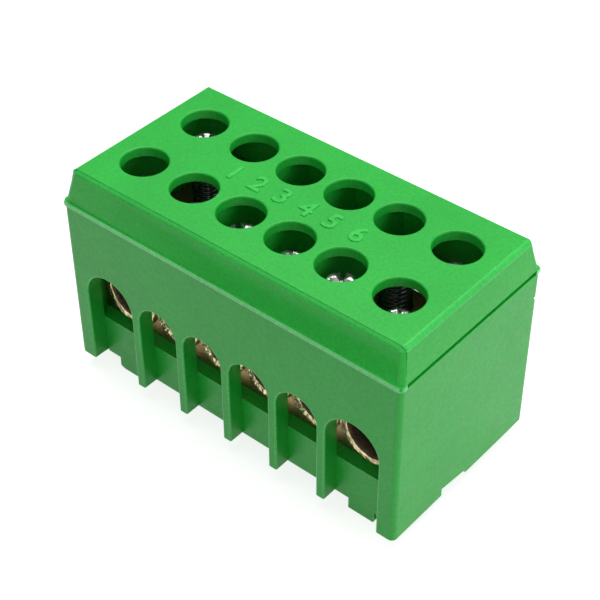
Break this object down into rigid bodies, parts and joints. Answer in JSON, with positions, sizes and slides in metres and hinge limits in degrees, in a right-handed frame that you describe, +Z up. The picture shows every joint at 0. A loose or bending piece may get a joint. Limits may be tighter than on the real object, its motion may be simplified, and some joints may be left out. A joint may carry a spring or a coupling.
{
  "type": "earth terminal bar",
  "caption": "Green moulded terminal block with a brass bar inside, arched wire entries on both long sides and clamp screws reached through round holes in its clip-on cover.",
  "frame": {"origin": "on the plane under the four feet, below the middle of the housing", "axes": "+X along the bar, +Y from the front row of screws to the rear row, +Z up out of the cover"},
  "size_m": [0.0616, 0.0316, 0.0363],
  "materials": {
    "green_housing": "fine moulded grain, satin",
    "green_cover": "fine moulded grain, satin",
    "brass": "extruded and drilled, dull",
    "zinc_steel": "bright zinc plate"
  },
  "bodies": {
    "block": {"housing": "green_housing", "cover": "green_cover", "brass_bar": "brass"},
    "screw_front_1": {"screw_front_1": "zinc_steel"},
    "screw_front_2": {"screw_front_2": "zinc_steel"},
    "screw_front_3": {"screw_front_3": "zinc_steel"},
    "screw_front_4": {"screw_front_4": "zinc_steel"},
    "screw_front_5": {"screw_front_5": "zinc_steel"},
    "screw_front_6": {"screw_front_6": "zinc_steel"},
    "screw_rear_1": {"screw_rear_1": "zinc_steel"},
    "screw_rear_2": {"screw_rear_2": "zinc_steel"},
    "screw_rear_3": {"screw_rear_3": "zinc_steel"},
    "screw_rear_4": {"screw_rear_4": "zinc_steel"},
    "screw_rear_5": {"screw_rear_5": "zinc_steel"},
    "screw_rear_6": {"screw_rear_6": "zinc_steel"}
  },
  "joints": [
    {"name": "front_screw_1_travel", "type": "slide", "parent": "block", "child": "screw_front_1", "axis": [0, 0, 1], "range_m": [-0.00859, 0.0011]},
    {"name": "front_screw_2_travel", "type": "slide", "parent": "block", "child": "screw_front_2", "axis": [0, 0, 1], "range_m": [-0.00729, 0.0013]},
    {"name": "front_screw_3_travel", "type": "slide", "parent": "block", "child": "screw_front_3", "axis": [0, 0, 1], "range_m": [-0.00799, 0.0006]},
    {"name": "front_screw_4_travel", "type": "slide", "parent": "block", "child": "screw_front_4", "axis": [0, 0, 1], "range_m": [-0.00759, 0.001]},
    {"name": "front_screw_5_travel", "type": "slide", "parent": "block", "child": "screw_front_5", "axis": [0, 0, 1], "range_m": [-0.00839, 0.0002]},
    {"name": "front_screw_6_travel", "type": "slide", "parent": "block", "child": "screw_front_6", "axis": [0, 0, 1], "range_m": [-0.00849, 0.0012]},
    {"name": "rear_screw_1_travel", "type": "slide", "parent": "block", "child": "screw_rear_1", "axis": [0, 0, 1], "range_m": [-0.00939, 0.0003]},
    {"name": "rear_screw_2_travel", "type": "slide", "parent": "block", "child": "screw_rear_2", "axis": [0, 0, 1], "range_m": [-0.00649, 0.0021]},
    {"name": "rear_screw_3_travel", "type": "slide", "parent": "block", "child": "screw_rear_3", "axis": [0, 0, 1], "range_m": [-0.00729, 0.0013]},
    {"name": "rear_screw_4_travel", "type": "slide", "parent": "block", "child": "screw_rear_4", "axis": [0, 0, 1], "range_m": [-0.00669, 0.0019]},
    {"name": "rear_screw_5_travel", "type": "slide", "parent": "block", "child": "screw_rear_5", "axis": [0, 0, 1], "range_m": [-0.00699, 0.0016]},
    {"name": "rear_screw_6_travel", "type": "slide", "parent": "block", "child": "screw_rear_6", "axis": [0, 0, 1], "range_m": [-0.00839, 0.0013]}
  ]
}
